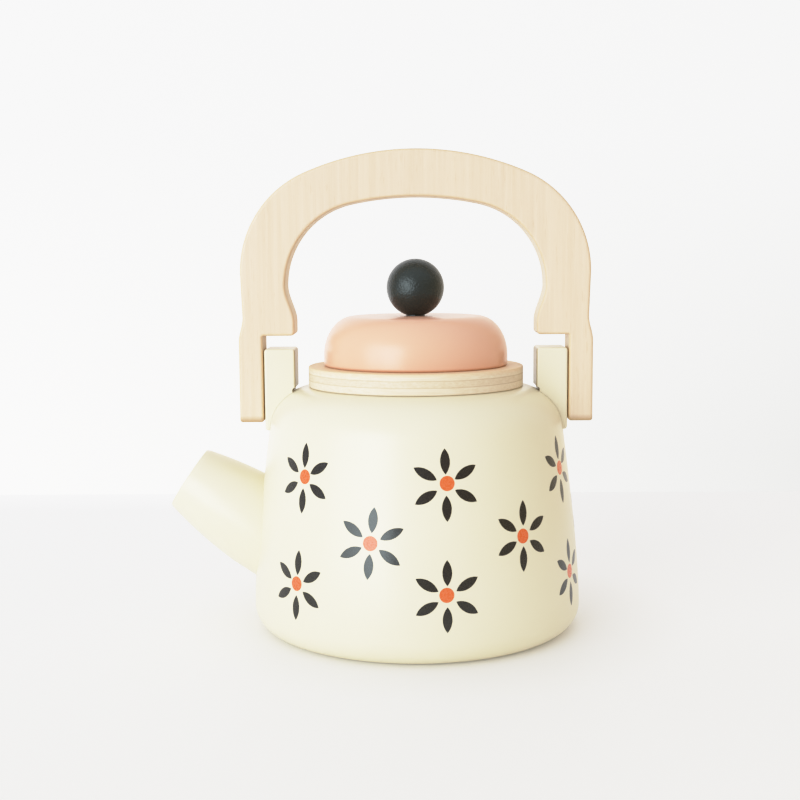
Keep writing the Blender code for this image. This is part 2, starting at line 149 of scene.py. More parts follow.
# Facets: numbers of sides and steps, the angle of a sharp edge, and how close points count as one
BODY_SIDES = 192
LID_SIDES = 160
SPOUT_SIDES = 128
KNOB_SIDES = 96
PIN_SIDES = 64
CURVE_STEPS = 28
CORNER_STEPS = 5
CORNER_POINTS = CORNER_STEPS + 3
CAVITY_CORNER_STEPS = 4
OUTLINE_STEPS = 12
DOT_STEPS = 36
SHARP_ANGLE = math.radians(35)
SAME_POINT = 0.000001
SAME_DIGITS = 8

# Triangles that fill an outline: only those inside it, with points that are told apart this closely
FILL_INSIDE = 1
FILL_CLOSE = 1e-9

# Sockets of the Mix node that carry colours, and the curve that bends all three colours at once
MIX_FACTOR = 0
MIX_FIRST = 6
MIX_SECOND = 7
MIX_RESULT = 2
COMBINED_CURVE = 3

# Levels between which noise mostly runs
NOISE_LOW = 0.3
NOISE_HIGH = 0.7

# Colours are linear red, green, blue and alpha. Each paint, ink and wood has two, and its pattern runs
# between them
CREAM = ((0.82, 0.75, 0.54, 1.0), (0.81, 0.74, 0.525, 1.0))
PEACH = ((0.805, 0.452, 0.307, 1.0), (0.795, 0.442, 0.297, 1.0))
CHARCOAL = ((0.012, 0.0155, 0.013, 1.0), (0.015, 0.019, 0.016, 1.0))
PETAL_INK = ((0.006, 0.002, 0.0005, 1.0), (0.014, 0.0075, 0.001, 1.0))
DOT_INK = ((0.75, 0.120, 0.022, 1.0), (0.76, 0.143, 0.036, 1.0))
BOARD_WOOD = ((0.795, 0.622, 0.455, 1.0), (0.705, 0.535, 0.375, 1.0))
OUTER_PLY = ((0.84, 0.73, 0.56, 1.0), (0.75, 0.61, 0.42, 1.0))
CORE_PLY = ((0.78, 0.66, 0.49, 1.0), (0.68, 0.54, 0.36, 1.0))
DOWEL_WOOD = ((0.74, 0.58, 0.39, 1.0), (0.62, 0.45, 0.28, 1.0))
TURNED_WOOD = ((0.78, 0.64, 0.45, 1.0), (0.66, 0.50, 0.32, 1.0))

# Colours laid over those
# Painted shade on the inner faces of the ears
EAR_PAINTED_SHADE = (0.34, 0.265, 0.125, 1.0)
# Painted shade along the lid's bottom edge
LID_PAINTED_SHADE = (0.42, 0.17, 0.07, 1.0)
BOARD_TONE = (0.79, 0.61, 0.43, 1.0)
BOARD_FLECK = (0.60, 0.42, 0.26, 1.0)
BOARD_EDGE = (0.72, 0.53, 0.30, 1.0)
BOARD_SIDE = (0.70, 0.59, 0.41, 1.0)
# Painted warm shade on the legs where they face the ears
BOARD_PAINTED_SHADE = (0.78, 0.50, 0.22, 1.0)
BOARD_END = (0.56, 0.40, 0.24, 1.0)
# Darker along the bottom of the legs
BOARD_LEG_BOTTOM = (0.43, 0.28, 0.14, 1.0)
PLY_GLUE = (0.50, 0.36, 0.20, 1.0)
PLY_STAIN = (0.30, 0.22, 0.11, 1.0)
PLY_RIM = (0.82, 0.56, 0.31, 1.0)
DOWEL_PORE = (0.40, 0.27, 0.16, 1.0)
TURNED_RING = (0.56, 0.41, 0.25, 1.0)

# How strongly each of them covers what is under it
# Cover of the painted shade along the lid's bottom edge
LID_SHADE_COVER = 0.42
TONE_COVER = 0.5
FLECK_COVER = 0.35
EDGE_COVER = 0.6
SIDE_COVER = 0.9
END_COVER = 0.6
# Cover of the darker band along the bottom of the legs
LEG_BOTTOM_COVER = 0.8
GLUE_COVER = 0.6
STAIN_COVER = 0.45
RIM_COVER = 0.6
PORE_COVER = 0.5
RING_COVER = 0.25

# Lowest and highest roughness, and how strongly a surface mirrors. The paint of the ears mirrors least
# where its shade is painted, and the reflections in the dark paint and the print are tinted
CREAM_ROUGHNESS = (0.28, 0.34)
PEACH_ROUGHNESS = (0.285, 0.315)
CHARCOAL_ROUGHNESS = (0.29, 0.375)
INK_ROUGHNESS = (0.25, 0.30)
BOARD_ROUGHNESS = (0.46, 0.60)
PLY_ROUGHNESS = (0.5, 0.66)
DOWEL_ROUGHNESS = (0.5, 0.65)
TURNED_ROUGHNESS = (0.55, 0.7)
TABLE_ROUGHNESS = 0.6
EAR_SHINE = (0.5, 0.1)
PEACH_SHINE = 0.55
CHARCOAL_SHINE = 0.46
INK_SHINE = 0.65
COOL_SHEEN = (0.90, 1.0, 0.99, 1.0)

# Sizes of the even patterns, in metres, and depths of all the relief
CLOUD_SIZE = 0.018
PEEL_SIZE = 0.0011
PEEL_RELIEF = 0.00001
LEATHER_SIZE = 0.0006
LEATHER_RELIEF = 0.00014
INK_SPECK_SIZE = 0.0007
INK_RELIEF = 0.000005
BOARD_RELIEF = 0.00002
PLY_RELIEF = 0.00003
DOWEL_RELIEF = 0.00003
TURNED_RELIEF = 0.00005
TABLE_CLOUD_SIZE = 0.3

# Grain, in features per metre along X, Y and Z
BOARD_FINE_GRAIN = (900.0, 420.0, 26.0)
BOARD_BROAD_GRAIN = (150.0, 90.0, 7.0)
BOARD_FLECKS = (2600.0, 900.0, 190.0)
PLY_LONG_GRAIN = (40.0, 900.0, 2200.0)
PLY_CROSS_GRAIN = (900.0, 40.0, 2200.0)
DOWEL_GRAIN = (60.0, 1500.0, 1500.0)
DOWEL_PORES = (400.0, 5200.0, 5200.0)
TURNED_GRAIN = (420.0, 420.0, 22.0)
TURNED_RINGS = (12.0, 12.0, 1800.0)

# How squarely a surface looks one way where a colour begins and where it is full. Edges and sides go by
# the front and back, ends by up and down, all as squares; ears and legs go by the middle of the kettle
EDGE_TURN = (0.98, 0.60)
SIDE_TURN = (0.40, 0.05)
END_TURN = (0.30, 0.90)
EAR_TURN = (0.4, 0.9)
LEG_TURN = (0.2, 0.8)

# Bands of colour: the height over an edge where one begins and where it is full, in metres. The lid's
# band is painted shade, the legs' band darkens their bottoms, and the glue's is a distance from its line
LID_SHADE_BAND = (0.9 * LID_EDGE, 0.4 * LID_EDGE)
LEG_BOTTOM_BAND = (2.4 * HANDLE_EDGE, 0.75 * HANDLE_EDGE)
STAIN_BAND = (0.00042, 0.00022)
RIM_BAND = (-0.0013, -0.0001)
GLUE_BAND = (0.00022, 0.00004)

# Plies, and how their edges waver and blur
PLIES = 3
PLY_WAVE_SIZE = 0.012
PLY_WAVER = 0.00009
PLY_BLUR = 0.00005

# Camera, at the photograph's angle, with its tilt in degrees
CAMERA_PLACE = (-0.000085, -0.391890, 0.114982)
CAMERA_TILT = (83.4918, 0.3941, 0.6696)
CAMERA_LENS = 56.756
CAMERA_SENSOR = 36.0
CAMERA_NEAREST = 0.01
CAMERA_FARTHEST = 100.0

# Tone of the picture: true up to the knee, then a soft shoulder that never quite reaches the top
TONE_KNEE = 0.60
TONE_TOP = 0.985
TONE_RANGE = 4.0
TONE_STEPS = 40

# Room: its light from left to right, and the parts of a direction along X, Y and Z over which it changes
ROOM_FRONT = ((0.60, 0.57, 0.63, 1.0), (0.62, 0.50, 0.37, 1.0))
ROOM_BACK = ((1.82, 1.77, 1.76, 1.0), (1.08, 0.91, 0.66, 1.0))
ROOM_TOP = (0.97, 0.98, 1.02, 1.0)
ROOM_RIGHTWARDS = (-0.3, 0.9)
ROOM_BACKWARDS = (0.06, 0.84)
ROOM_UPWARDS = (0.2, 0.9)

# Wall as the camera sees it, from left to right, and the parts of a direction over which it changes
WALL_FOOT = ((1.62, 1.60, 1.56, 1.0), (1.02, 1.02, 0.99, 1.0))
WALL_TOP = ((1.41, 1.41, 1.41, 1.0), (1.29, 1.29, 1.28, 1.0))
WALL_RIGHTWARDS = (-0.3, 0.3)
WALL_UPWARDS = (-0.15, 0.09)

# Table, which ends behind the kettle and, outside the picture, in front and to the right. Its colour
# is darkened to the right and nearer the camera by painted shade
TABLE_BACK = 0.215
TABLE_FRONT = -0.20
TABLE_RIGHT = 0.25
TABLE_LEFT = -4.0
TABLE_CELLS = 8
TABLE_TOP = ((0.893, 0.892, 0.885, 1.0), (0.903, 0.902, 0.895, 1.0))
TABLE_PAINTED_SHADE_RIGHT = (0.846, 0.834, 0.796, 1.0)
TABLE_PAINTED_SHADE_FRONT = (0.828, 0.812, 0.752, 1.0)
TABLE_RIGHTWARDS = (-0.10, 0.20)
TABLE_NEARER = (0.20, -0.25)

# Glow of the table: less where the kettle keeps the room's light off it, and more in a haze along its far
# edge, to the left
TABLE_GLOW = 0.17
GLOW_COLOUR = (1.0, 1.0, 1.0, 1.0)
SHADE_CENTRE = (0.006, 0.004, 0.0)
SHADE_NEAR = 0.048
SHADE_FAR = 0.080
SHADE_GLOW = 0.07
HAZE_WIDTH = 0.04
HAZE_SIDE = -0.08
HAZE_GLOW = 0.16

# Window to the left of the camera: a wide curtained pane, and a narrow clear one nearer the camera
WINDOW_AIM = (0.0, 0.0, 0.07)
WINDOW_HEIGHT = 1.68
WINDOW_COLOUR = (0.89, 0.975, 1.035)
CURTAIN_PLACE = (-1.33, -1.62, 0.36)
CURTAIN_WIDTH = 1.80
CURTAIN_POWER = 33.2
PANE_PLACE = (-1.02, -1.82, 0.36)
PANE_WIDTH = 0.80
PANE_POWER = 8.7


def arc(centre, radius, start, end, steps=CURVE_STEPS):
    """Points on a circular arc, with angles in radians measured from the first axis."""
    points = []
    for step in range(steps + 1):
        angle = start + (end - start) * step / steps
        points.append(Vector((centre[0] + radius * math.cos(angle), centre[1] + radius * math.sin(angle))))
    return points


def bend(start, control, end, steps=CURVE_STEPS):
    """Points on a parabola that leaves start and reaches end along the lines through control."""
    points = []
    for step in range(steps + 1):
        t = step / steps
        points.append(start * (1 - t) ** 2 + control * 2 * t * (1 - t) + end * t ** 2)
    return points


def ease(start, end, steps=CURVE_STEPS):
    """Points on an S-curve that leaves start and reaches end along the second axis."""
    points = []
    for step in range(steps + 1):
        t = step / steps
        across = t * t * (3 - 2 * t)
        points.append(Vector((start.x + (end.x - start.x) * across, start.y + (end.y - start.y) * t)))
    return points


def rounded_path(corners):
    """Points along straight lines through (x, y, radius) corners, each rounded to its radius.

    A point on each line close to a rounded corner keeps the shading of the flat beside it even.
    """
    points = []
    for index, (x, y, radius) in enumerate(corners):
        here = Vector((x, y))
        if radius == 0.0:
            points.append(here)
            continue
        after = (index + 1) % len(corners)
        back = (Vector(corners[index - 1][:2]) - here).normalized()
        onward = (Vector(corners[after][:2]) - here).normalized()
        half_angle = back.angle(onward) / 2
        reach = radius / math.tan(half_angle)
        centre = here + (back + onward).normalized() * (radius / math.sin(half_angle))
        first = here + back * reach - centre
        sweep = math.pi - 2 * half_angle
        if back.cross(onward) > 0:
            sweep = -sweep
        start = math.atan2(first.y, first.x)
        points.append(here + back * (reach + EDGE_SUPPORT))
        points += arc(centre, radius, start, start + sweep, CORNER_STEPS)
        points.append(here + onward * (reach + EDGE_SUPPORT))
    return points


def without_repeats(points):
    """Drop points that fall on the one before."""
    kept = [points[0]]
    for point in points[1:]:
        if (point - kept[-1]).length > SAME_POINT:
            kept.append(point)
    return kept


def spun(profile, sides, closed=False):
    """A mesh made by spinning a profile of (radius, height) points about the Z axis."""
    shape = bmesh.new()
    rings = []
    for point in without_repeats(profile):
        if point.x < SAME_POINT:
            rings.append([shape.verts.new((0.0, 0.0, point.y))])
            continue
        ring = []
        for side in range(sides):
            angle = 2 * math.pi * side / sides
            ring.append(shape.verts.new((point.x * math.cos(angle), point.x * math.sin(angle), point.y)))
        rings.append(ring)
    pairs = list(zip(rings, rings[1:]))
    if closed:
        pairs.append((rings[-1], rings[0]))
    for upper, lower in pairs:
        for side in range(sides):
            after = (side + 1) % sides
            corners = [upper[side % len(upper)], lower[side % len(lower)]]
            corners += [lower[after % len(lower)], upper[after % len(upper)]]
            shape.faces.new(list(dict.fromkeys(corners)))
    return shape


def finished_mesh(name, shape):
    """Turn a bmesh into a smooth-shaded mesh with its faces outwards."""
    bmesh.ops.recalc_face_normals(shape, faces=shape.faces)
    mesh = bpy.data.meshes.new(name)
    shape.to_mesh(mesh)
    shape.free()
    return mesh


def add_object(name, data):
    """Put a mesh, a light or a camera in the scene."""
    item = bpy.data.objects.new(name, data)
    bpy.context.scene.collection.objects.link(item)
    return item


def dress(item, material, slot, body, *nodes):
    """Finish a piece: smooth shading, material, the body that it rides and the CAD nodes it stands for."""
    item.data.shade_smooth()
    item.data.set_sharp_from_angle(angle=SHARP_ANGLE)
    if not item.data.materials:
        item.data.materials.append(material)
    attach(item, body)
    if nodes:
        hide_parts(*nodes)
    return item


def carve(item, *cutters):
    """Cut solids out of a piece for good, and remove the cutters."""
    for cutter in cutters:
        boolean = item.modifiers.new("Cut", "BOOLEAN")
        boolean.operation = "DIFFERENCE"
        boolean.solver = "EXACT"
        boolean.object = cutter
    bpy.context.view_layer.update()
    evaluated = item.evaluated_get(bpy.context.evaluated_depsgraph_get())
    mesh = bpy.data.meshes.new_from_object(evaluated)
    item.modifiers.clear()
    item.data = mesh
    for cutter in cutters:
        bpy.data.objects.remove(cutter, do_unlink=True)


def rod_mesh(name, radius, start, end, edge=0.0, sides=PIN_SIDES):
    """A straight dowel between two points, with its end edges rounded."""
    start = Vector(start)
    end = Vector(end)
    length = (end - start).length
    corners = [(0.0, 0.0, 0.0), (radius, 0.0, edge), (radius, length, edge), (0.0, length, 0.0)]
    shape = spun(rounded_path(corners), sides)
    turn = (end - start).to_track_quat("Z", "Y").to_matrix().to_4x4()
    bmesh.ops.transform(shape, matrix=Matrix.Translation(start) @ turn, verts=shape.verts)
    return finished_mesh(name, shape)


def drill(radius, start, end):
    return add_object("drill", rod_mesh("drill", radius, start, end))


def body_outline(growth=0.0):
    """Outside of the body from the flat top down to the base, moved out by growth."""
    shoulder = Vector((SHOULDER_RADIUS - SHOULDER_EDGE_RADIUS, BODY_HEIGHT - SHOULDER_EDGE_RADIUS))
    base = Vector((BODY_RADIUS - BASE_EDGE_RADIUS, BASE_EDGE_RADIUS))
    lean = Vector((math.cos(SIDE_LEAN), math.sin(SIDE_LEAN)))
    side_top = shoulder + lean * (SHOULDER_EDGE_RADIUS + growth)
    side_bottom = base + Vector((BASE_EDGE_RADIUS + growth, 0.0))
    run = (side_bottom.x - side_top.x) / math.tan(SIDE_LEAN)
    control = Vector((side_bottom.x, max(side_top.y - run, side_bottom.y)))
    points = arc(shoulder, SHOULDER_EDGE_RADIUS + growth, math.pi / 2, SIDE_LEAN)
    points += bend(side_top, control, side_bottom)
    points += arc(base, BASE_EDGE_RADIUS + growth, 0.0, -math.pi / 2)
    return without_repeats(points)


def body_cutter(growth, lift=0.0):
    """The body as a solid, grown and lifted by a hair, that shapes the pieces glued on it."""
    outline = body_outline(growth)
    profile = [Vector((0.0, outline[0].y))] + outline + [Vector((0.0, outline[-1].y))]
    shape = spun(profile, BODY_SIDES)
    bmesh.ops.translate(shape, vec=(0.0, 0.0, lift), verts=shape.verts)
    return add_object("body_cutter", finished_mesh("body_cutter", shape))


def make_pot(paint, bare):
    """The turned body, bored straight down through its top; the bore is left unpainted."""
    corner = Vector((CAVITY_RADIUS - CAVITY_EDGE, CAVITY_BOTTOM + CAVITY_EDGE))
    profile = [Vector((0.0, CAVITY_BOTTOM)), Vector((corner.x, CAVITY_BOTTOM))]
    profile += arc(corner, CAVITY_EDGE, -math.pi / 2, 0.0, CAVITY_CORNER_STEPS)
    profile.append(Vector((CAVITY_RADIUS, BODY_HEIGHT)))
    profile += body_outline()
    profile.append(Vector((0.0, 0.0)))
    mesh = finished_mesh("pot", spun(profile, BODY_SIDES))
    mesh.materials.append(paint)
    mesh.materials.append(bare)
    reach = CAVITY_RADIUS + EDGE_SUPPORT
    for face in mesh.polygons:
        inside = face.center.xy.length < reach and face.center.z > CAVITY_BOTTOM / 2
        face.material_index = 1 if inside else 0
    return dress(add_object("pot", mesh), paint, "cream_paint", "kettle", "body")


def make_collar(material):
    bottom = COLLAR_BOTTOM - SEAT_GAP
    corners = [
        (COLLAR_RADIUS, COLLAR_TOP, COLLAR_EDGE),
        (COLLAR_RADIUS, bottom, COLLAR_EDGE),
        (MOUTH_RADIUS, bottom, COLLAR_EDGE),
        (MOUTH_RADIUS, COLLAR_TOP, COLLAR_EDGE),
    ]
    profile = rounded_path(corners)
    mesh = finished_mesh("collar", spun(profile, BODY_SIDES, closed=True))
    return dress(add_object("collar", mesh), material, "plywood", "kettle", "collar_ring")


def make_lid(material):
    """The dome: a flat top, an elliptical crown and a small rounded bottom edge."""
    bottom = LID_BOTTOM - SEAT_GAP
    crown_bottom = LID_TOP - LID_CROWN_HEIGHT
    profile = [Vector((0.0, LID_TOP))]
    for point in arc((0.0, 0.0), 1.0, math.pi / 2, 0.0):
        across = LID_RADIUS - LID_CROWN_WIDTH * (1.0 - point.x)
        profile.append(Vector((across, crown_bottom + LID_CROWN_HEIGHT * point.y)))
    profile += arc((LID_RADIUS - LID_EDGE, bottom + LID_EDGE), LID_EDGE, 0.0, -math.pi / 2, CORNER_STEPS)
    profile.append(Vector((0.0, bottom)))
    mesh = finished_mesh("lid_dome", spun(profile, LID_SIDES))
    return dress(add_object("lid_dome", mesh), material, "peach_paint", "lid", "lid")


def make_plug(material):
    top = LID_BOTTOM - SEAT_GAP
    corners = [
        (0.0, top, 0.0),
        (PLUG_RADIUS, top, 0.0),
        (PLUG_RADIUS, PLUG_BOTTOM, PLUG_EDGE),
        (0.0, PLUG_BOTTOM, 0.0),
    ]
    mesh = finished_mesh("lid_disc", spun(rounded_path(corners), LID_SIDES))
    return dress(add_object("lid_disc", mesh), material, "plywood", "lid", "lid_plug")


def make_knob(material):
    """The ball, with a small flat where it sits on the lid."""
    centre = (0.0, LID_TOP + SEAT_GAP + math.sqrt(KNOB_RADIUS ** 2 - KNOB_FLAT_RADIUS ** 2))
    flat_angle = -math.acos(KNOB_FLAT_RADIUS / KNOB_RADIUS)
    profile = arc(centre, KNOB_RADIUS, math.pi / 2, flat_angle, 2 * CURVE_STEPS)
    profile[0].x = 0.0
    profile.append(Vector((KNOB_FLAT_RADIUS, LID_TOP)))
    profile.append(Vector((0.0, LID_TOP)))
    mesh = finished_mesh("knob_ball", spun(profile, KNOB_SIDES))
    return dress(add_object("knob_ball", mesh), material, "charcoal_paint", "lid", "lid_knob")


def radius_at(height):
    """Outside radius of the body at a height on its side."""
    outline = body_outline()
    for upper, lower in zip(outline, outline[1:]):
        if upper.y >= height > lower.y:
            share = (upper.y - height) / (upper.y - lower.y)
            return upper.x + (lower.x - upper.x) * share
    return BODY_RADIUS


def make_spout(material):
    """A tapered turning with a blind bore, cut to a saddle that sinks a little into the body's paint."""
    root = Vector((-radius_at(SPOUT_ROOT_HEIGHT), 0.0, SPOUT_ROOT_HEIGHT))
    direction = Vector((-math.cos(SPOUT_ANGLE), 0.0, math.sin(SPOUT_ANGLE)))
    buried = 2 * SPOUT_ROOT_RADIUS
    tip = Vector((SPOUT_MOUTH_RADIUS, SPOUT_LENGTH))
    foot = Vector((SPOUT_ROOT_RADIUS, 0.0))
    middle = (tip + foot) / 2 + Vector((2 * SPOUT_SWELL, 0.0))
    corner_height = SPOUT_LENGTH - SPOUT_EDGE
    bore_bottom = SPOUT_LENGTH - SPOUT_BORE_DEPTH
    lip = (SPOUT_BORE_RADIUS + SPOUT_EDGE, corner_height)
    profile = [Vector((0.0, bore_bottom)), Vector((SPOUT_BORE_RADIUS, bore_bottom))]
    profile += arc(lip, SPOUT_EDGE, math.pi, math.pi / 2, CORNER_STEPS)
    profile += arc((tip.x - SPOUT_EDGE, corner_height), SPOUT_EDGE, math.pi / 2, 0.0, CORNER_STEPS)
    profile += [point for point in bend(tip, middle, foot) if point.y < corner_height]
    profile.append(Vector((SPOUT_ROOT_RADIUS, -buried)))
    profile.append(Vector((0.0, -buried)))
    shape = spun(profile, SPOUT_SIDES)
    turn = direction.to_track_quat("Z", "Y").to_matrix().to_4x4()
    bmesh.ops.transform(shape, matrix=Matrix.Translation(root) @ turn, verts=shape.verts)
    spout = add_object("pouring_spout", finished_mesh("pouring_spout", shape))
    carve(spout, body_cutter(-SPOUT_SINK))
    return dress(spout, material, "cream_paint", "kettle", "spout")


def crowned_arch(half_width, middle, top, crown_radius):
    """Right half of an arch, from its top centre to its widest point: a crown arc, then a corner arc."""
    rise = top - middle
    corner_radius = 2 * rise * crown_radius - half_width ** 2 - rise ** 2
    corner_radius /= 2 * (crown_radius - half_width)
    crown_centre = Vector((0.0, top - crown_radius))
    corner_centre = Vector((half_width - corner_radius, middle))
    between = corner_centre - crown_centre
    meeting = math.atan2(between.y, between.x)
    points = arc(crown_centre, crown_radius, math.pi / 2, meeting)
    points += arc(corner_centre, corner_radius, meeting, 0.0)
    return points


def handle_half_outline():
    """Right half of the handle from its top centre, round the leg, to the top of the grip opening."""
    arch_outer = LEG_OUTER - ARCH_INSET
    grip_outer = arch_outer - ARCH_SIDE_WIDTH
    waist = Vector((arch_outer - WAIST_INSET, NOTCH_RISE + WAIST_RISE))
    flare = Vector((LEG_OUTER, NOTCH_RISE - FLARE_DROP))
    foot = Vector((grip_outer - FOOT_REACH, NOTCH_RISE + FOOT_RISE))
    leg_and_foot = [
        (flare.x, flare.y, 0.0),
        (LEG_OUTER, -LEG_TAIL, LEG_CORNER),
        (LEG_INNER, -LEG_TAIL, LEG_CORNER),
        (LEG_INNER, NOTCH_RISE, NOTCH_CORNER),
        (foot.x, NOTCH_RISE, FOOT_EDGE),
        (foot.x, foot.y, 0.0),
    ]
    points = crowned_arch(arch_outer, ARCH_MIDDLE, ARCH_RISE, ARCH_CROWN_RADIUS)
    points += ease(waist, flare, OUTLINE_STEPS)
    points += rounded_path(leg_and_foot)
    points += ease(foot, Vector((grip_outer, GRIP_MIDDLE)))
    points += reversed(crowned_arch(grip_outer, GRIP_MIDDLE, GRIP_RISE, GRIP_CROWN_RADIUS))
    return without_repeats(points)


def inset(outline, distance):
    """Move a clockwise outline inwards by a distance."""
    moved = []
    for index, here in enumerate(outline):
        back = (here - outline[index - 1]).normalized()
        onward = (outline[(index + 1) % len(outline)] - here).normalized()
        back_normal = Vector((back.y, -back.x))
        onward_normal = Vector((onward.y, -onward.x))
        lean = back_normal + onward_normal
        moved.append(here + lean * (distance / (1.0 + back_normal.dot(onward_normal))))
    return moved


def trimmed(points):
    """Gather the small loop that an inset leaves at a tight corner into the point where it crosses."""
    kept = list(points)
    count = len(kept)
    for first in range(count):
        for reach in range(2, CORNER_POINTS + 1):
            ends = [kept[(first + step) % count] for step in (0, 1, reach, reach + 1)]
            crossing = intersect_line_line_2d(*ends)
            if crossing:
                for step in range(1, reach + 1):
                    kept[(first + step) % count] = crossing
    return kept


def ring_of(shape, points, depth):
    """One vertex for each (x, z) point at a depth; points in the same place share their vertex."""
    made = {}
    ring = []
    for point in points:
        key = point.to_tuple(SAME_DIGITS)
        if key not in made:
            made[key] = shape.verts.new((point.x, depth, point.y))
        ring.append(made[key])
    return ring


def board(outline, thickness, edge):
    """A flat board cut to a clockwise outline of (x, z) points, with its front and back edges rounded."""
    flat_depth = thickness / 2 - edge
    levels = [(edge + EDGE_SUPPORT, thickness / 2)]
    for point in arc((0.0, 0.0), edge, math.pi / 2, 0.0, CORNER_STEPS):
        levels.append((edge - point.x, flat_depth + point.y))
    levels.append((0.0, flat_depth - EDGE_SUPPORT))
    levels += [(amount, -depth) for amount, depth in reversed(levels)]
    shape = bmesh.new()
    rings = []
    for amount, depth in levels:
        rings.append(ring_of(shape, trimmed(inset(outline, amount)), depth))
    for behind, front in zip(rings, rings[1:]):
        for index in range(len(outline)):
            after = (index + 1) % len(outline)
            corners = list(dict.fromkeys((front[index], front[after], behind[after], behind[index])))
            if len(corners) > 2:
                shape.faces.new(corners)
    for ring in (rings[0], rings[-1]):
        rim = list(dict.fromkeys(ring))
        flat = [Vector((vertex.co.x, vertex.co.z)) for vertex in rim]
        loop = list(range(len(flat)))
        triangles = delaunay_2d_cdt(flat, [], [loop], FILL_INSIDE, FILL_CLOSE)[2]
        for corners in triangles:
            shape.faces.new([rim[corner] for corner in corners])
    return shape


def make_handle(material):
    """The arch, sawn from a flat board, its edges rounded over, with a hole for a pin in each leg."""
    half = handle_half_outline()
    outline = half + [Vector((-point.x, point.y)) for point in reversed(half[1:-1])]
    shape = board(outline, HANDLE_THICKNESS, HANDLE_EDGE)
    bmesh.ops.translate(shape, vec=(0.0, 0.0, PIVOT_HEIGHT), verts=shape.verts)
    handle = add_object("handle_arch", finished_mesh("handle_arch", shape))
    drills = []
    for sign in (-1.0, 1.0):
        start = (sign * (LEG_INNER - HANDLE_EDGE), 0.0, PIVOT_HEIGHT)
        end = (sign * (LEG_OUTER + HANDLE_EDGE), 0.0, PIVOT_HEIGHT)
        drills.append(drill(PIN_RADIUS + PIN_FIT, start, end))
    carve(handle, *drills)
    return dress(handle, material, "pale_wood", "handle", "handle")


def shoulder_height_at(radius):
    """Height of the rounded shoulder at a distance from the body's axis."""
    across = radius - (SHOULDER_RADIUS - SHOULDER_EDGE_RADIUS)
    return BODY_HEIGHT - SHOULDER_EDGE_RADIUS + math.sqrt(SHOULDER_EDGE_RADIUS ** 2 - across ** 2)


def make_ear(side, sign, material):
    """A post with rounded edges, scribed to the shoulder, with a hole for the pivot pin.

    Its inner bottom corner is eased, which leaves a small open corner on the shoulder beside the collar.
    """
    low = min(sign * EAR_INNER, sign * EAR_OUTER)
    high = max(sign * EAR_INNER, sign * EAR_OUTER)
    corners = [
        (low, EAR_TOP, EAR_CORNER),
        (high, EAR_TOP, EAR_CORNER),
        (high, EAR_BOTTOM, EAR_CORNER),
        (low, EAR_BOTTOM, EAR_CORNER),
    ]
    shape = board(rounded_path(corners), EAR_DEPTH, EAR_EDGE)
    name = side + "_ear_post"
    ear = add_object(name, finished_mesh(name, shape))
    hole_start = (sign * (PIN_INNER - PIN_PLAY), 0.0, PIVOT_HEIGHT)
    hole_end = (sign * (EAR_OUTER + HANDLE_EDGE), 0.0, PIVOT_HEIGHT)
    relief = Vector((sign * EAR_INNER, EAR_DEPTH, shoulder_height_at(EAR_INNER)))
    drills = [drill(PIN_RADIUS + PIN_PLAY, hole_start, hole_end)]
    drills.append(drill(EAR_RELIEF, relief, relief * Vector((1.0, -1.0, 1.0))))
    carve(ear, body_cutter(JOINT_LINE, EAR_LIFT), *drills)
    return dress(ear, material, "cream_paint", "kettle", side + "_ear")


def make_pin(side, sign, material):
    """A dowel glued in the handle's leg, flush outside, that turns in the ear."""
    start = (sign * PIN_INNER, 0.0, PIVOT_HEIGHT)
    end = (sign * LEG_OUTER, 0.0, PIVOT_HEIGHT)
    name = side + "_pin"
    pin = add_object(name, rod_mesh(name, PIN_RADIUS, start, end, PIN_EDGE))
    return dress(pin, material, "dowel_wood", "handle", side + "_pivot_pin")


class BodySide:
    """Maps a flat print to the body: across along its girth, and up along its outline."""

    def __init__(self):
        self.points = list(reversed(body_outline()))
        self.lengths = [0.0]
        for lower, upper in zip(self.points, self.points[1:]):
            self.lengths.append(self.lengths[-1] + (upper - lower).length)

    def length_at(self, height):
        for index in range(1, len(self.points)):
            lower, upper = self.points[index - 1], self.points[index]
            if lower.y <= height < upper.y:
                share = (height - lower.y) / (upper.y - lower.y)
                return self.lengths[index - 1] + share * (upper - lower).length
        return self.lengths[-1]

    def place(self, azimuth, height, across, up, lift):
        """A point of the print whose middle is at an azimuth and height, lifted off the surface."""
        wanted = self.length_at(height) + up
        index = next(i for i in range(1, len(self.points)) if self.lengths[i] >= wanted)
        lower, upper = self.points[index - 1], self.points[index]
        along = (upper - lower).normalized()
        spot = lower + along * (wanted - self.lengths[index - 1])
        angle = azimuth + across / spot.x
        spot = spot + Vector((along.y, -along.x)) * lift
        return Vector((spot.x * math.sin(angle), -spot.x * math.cos(angle), spot.y))


def petal_outline(turn, shift):
    """Lens shape of one petal, as (across, up) points round the flower's middle."""
    half_length = PETAL_LENGTH / 2
    half_width = PETAL_WIDTH / 2
    radius = (half_length ** 2 + half_width ** 2) / (2 * half_width)
    spread = math.asin(half_length / radius)
    one_side = arc((half_width - radius, 0.0), radius, -spread, spread, OUTLINE_STEPS)
    other_side = [-point for point in one_side]
    points = []
    for point in one_side[:-1] + other_side[:-1]:
        along = PETAL_MIDDLE + point.y
        across = shift[0] + along * math.cos(turn) - point.x * math.sin(turn)
        points.append(Vector((across, shift[1] + along * math.sin(turn) + point.x * math.cos(turn))))
    return points


